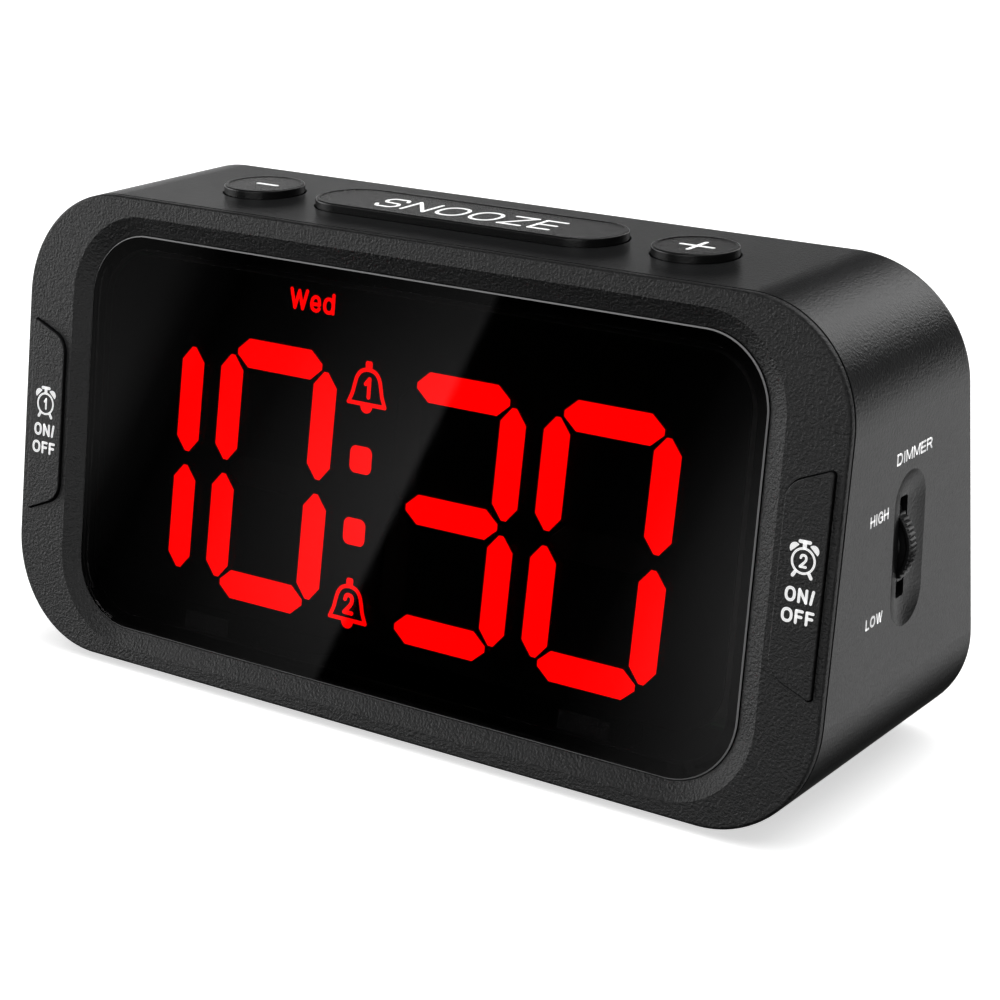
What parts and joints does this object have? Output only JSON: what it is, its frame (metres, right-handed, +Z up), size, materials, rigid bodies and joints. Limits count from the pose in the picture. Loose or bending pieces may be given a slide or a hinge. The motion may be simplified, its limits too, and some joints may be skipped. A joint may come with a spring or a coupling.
{
  "type": "alarm clock",
  "caption": "Compact bedside LED alarm clock: rounded charcoal case with leaning front and back, red digits behind a smoked window, snooze bar, alarm keys and side dimmer wheel",
  "frame": {"origin": "on the table plane under the feet, under the middle of the case", "axes": "+X to the right along the display as the user sees it, +Y from the display towards the back, +Z up"},
  "size_m": [0.1511, 0.0537, 0.0771],
  "materials": {
    "case_plastic": "fine satin charcoal ABS, lightly spark-eroded texture",
    "bezel_plastic": "fine satin charcoal ABS, slightly darker than the case",
    "button_plastic": "satin charcoal ABS with white pad-printed marks",
    "key_plastic": "satin charcoal ABS with white pad-printed legends",
    "window_acrylic": "polished smoked acrylic",
    "foam_tape": "black foam adhesive tape",
    "printed_film": "black printed polyester film",
    "light_box_plastic": "white reflector moulding",
    "lit_lens": "translucent diffuser lit red from behind",
    "dark_lens": "translucent diffuser, not lit",
    "lamp_package": "white lamp package with clear resin",
    "circuit_board": "green solder mask on glass-epoxy",
    "screw_steel": "zinc plated steel",
    "switch_plastic": "black moulded switch body",
    "plunger_plastic": "black moulded plunger",
    "chip_epoxy": "moulded epoxy package",
    "capacitor_can": "drawn aluminium can",
    "sounder_plastic": "black moulded plastic",
    "connector_plastic": "natural nylon connector",
    "ribbon_vinyl": "grey flat ribbon cable",
    "contact_metal": "nickel plated spring metal",
    "cell_steel": "stainless steel coin cell case",
    "wheel_plastic": "black moulded plastic, knurled rim",
    "foot_rubber": "black rubber"
  },
  "bodies": {
    "root": {"rear_housing": "case_plastic", "front_bezel": "bezel_plastic", "display_window": "window_acrylic", "window_tape": "foam_tape", "legend_film": "printed_film", "light_box": "light_box_plastic", "segments_lit": "lit_lens", "segments_dark": "dark_lens", "legend_lenses": "dark_lens", "display_lamps": "lamp_package", "display_board": "circuit_board", "display_screws": "screw_steel", "alarm_switches": "switch_plastic", "button_board": "circuit_board", "button_board_screws": "screw_steel", "top_switches": "switch_plastic", "main_board": "circuit_board", "main_board_screws": "screw_steel", "main_chips": "chip_epoxy", "capacitors": "capacitor_can", "sounder": "sounder_plastic", "board_header": "connector_plastic", "ribbon_sockets": "connector_plastic", "ribbon": "ribbon_vinyl", "dimmer_pot": "switch_plastic", "rear_switches": "switch_plastic", "power_inlet": "sounder_plastic", "inlet_pin": "contact_metal", "backup_cell": "cell_steel", "cell_contact": "contact_metal", "case_screws": "screw_steel", "foot_front_left": "foot_rubber", "foot_back_left": "foot_rubber", "foot_front_right": "foot_rubber", "foot_back_right": "foot_rubber"},
    "minus": {"minus_button": "button_plastic", "minus_plunger": "plunger_plastic"},
    "plus": {"plus_button": "button_plastic", "plus_plunger": "plunger_plastic"},
    "snooze": {"snooze_bar": "button_plastic", "snooze_plunger": "plunger_plastic"},
    "alarm_1": {"alarm_1_key": "key_plastic", "alarm_1_plunger": "plunger_plastic"},
    "alarm_2": {"alarm_2_key": "key_plastic", "alarm_2_plunger": "plunger_plastic"},
    "clock_set": {"clock_set_key": "key_plastic", "clock_set_plunger": "plunger_plastic"},
    "alarm_set": {"alarm_set_key": "key_plastic", "alarm_set_plunger": "plunger_plastic"},
    "dimmer": {"dimmer_wheel": "wheel_plastic", "dimmer_shaft": "contact_metal"},
    "door": {"cell_door": "case_plastic"}
  },
  "joints": [
    {"name": "minus_press", "type": "slide", "parent": "root", "child": "minus", "axis": [0, 0, -1], "range_m": [0, 0.0009], "stiffness_N_per_m": 2500},
    {"name": "plus_press", "type": "slide", "parent": "root", "child": "plus", "axis": [0, 0, -1], "range_m": [0, 0.0009], "stiffness_N_per_m": 2500},
    {"name": "snooze_press", "type": "slide", "parent": "root", "child": "snooze", "axis": [0, 0, -1], "range_m": [0, 0.0009], "stiffness_N_per_m": 2800},
    {"name": "alarm_1_press", "type": "slide", "parent": "root", "child": "alarm_1", "axis": [0, 0.9903, -0.1392], "range_m": [0, 0.0005], "stiffness_N_per_m": 2500},
    {"name": "alarm_2_press", "type": "slide", "parent": "root", "child": "alarm_2", "axis": [0, 0.9903, -0.1392], "range_m": [0, 0.0005], "stiffness_N_per_m": 2500},
    {"name": "clock_set_press", "type": "slide", "parent": "root", "child": "clock_set", "axis": [0, -1, 0], "range_m": [0, 0.0008], "stiffness_N_per_m": 2500},
    {"name": "alarm_set_press", "type": "slide", "parent": "root", "child": "alarm_set", "axis": [0, -1, 0], "range_m": [0, 0.0008], "stiffness_N_per_m": 2500},
    {"name": "dimmer_turn", "type": "hinge", "parent": "root", "child": "dimmer", "pos_m": [0.06887, 0.0001, 0.0382], "axis": [0, 1, 0], "range_deg": [-140, 140]},
    {"name": "door_turn", "type": "hinge", "parent": "root", "child": "door", "pos_m": [-0.03, 0.005, 0.0023], "axis": [0, 0, 1], "range_deg": [0, 60]}
  ]
}
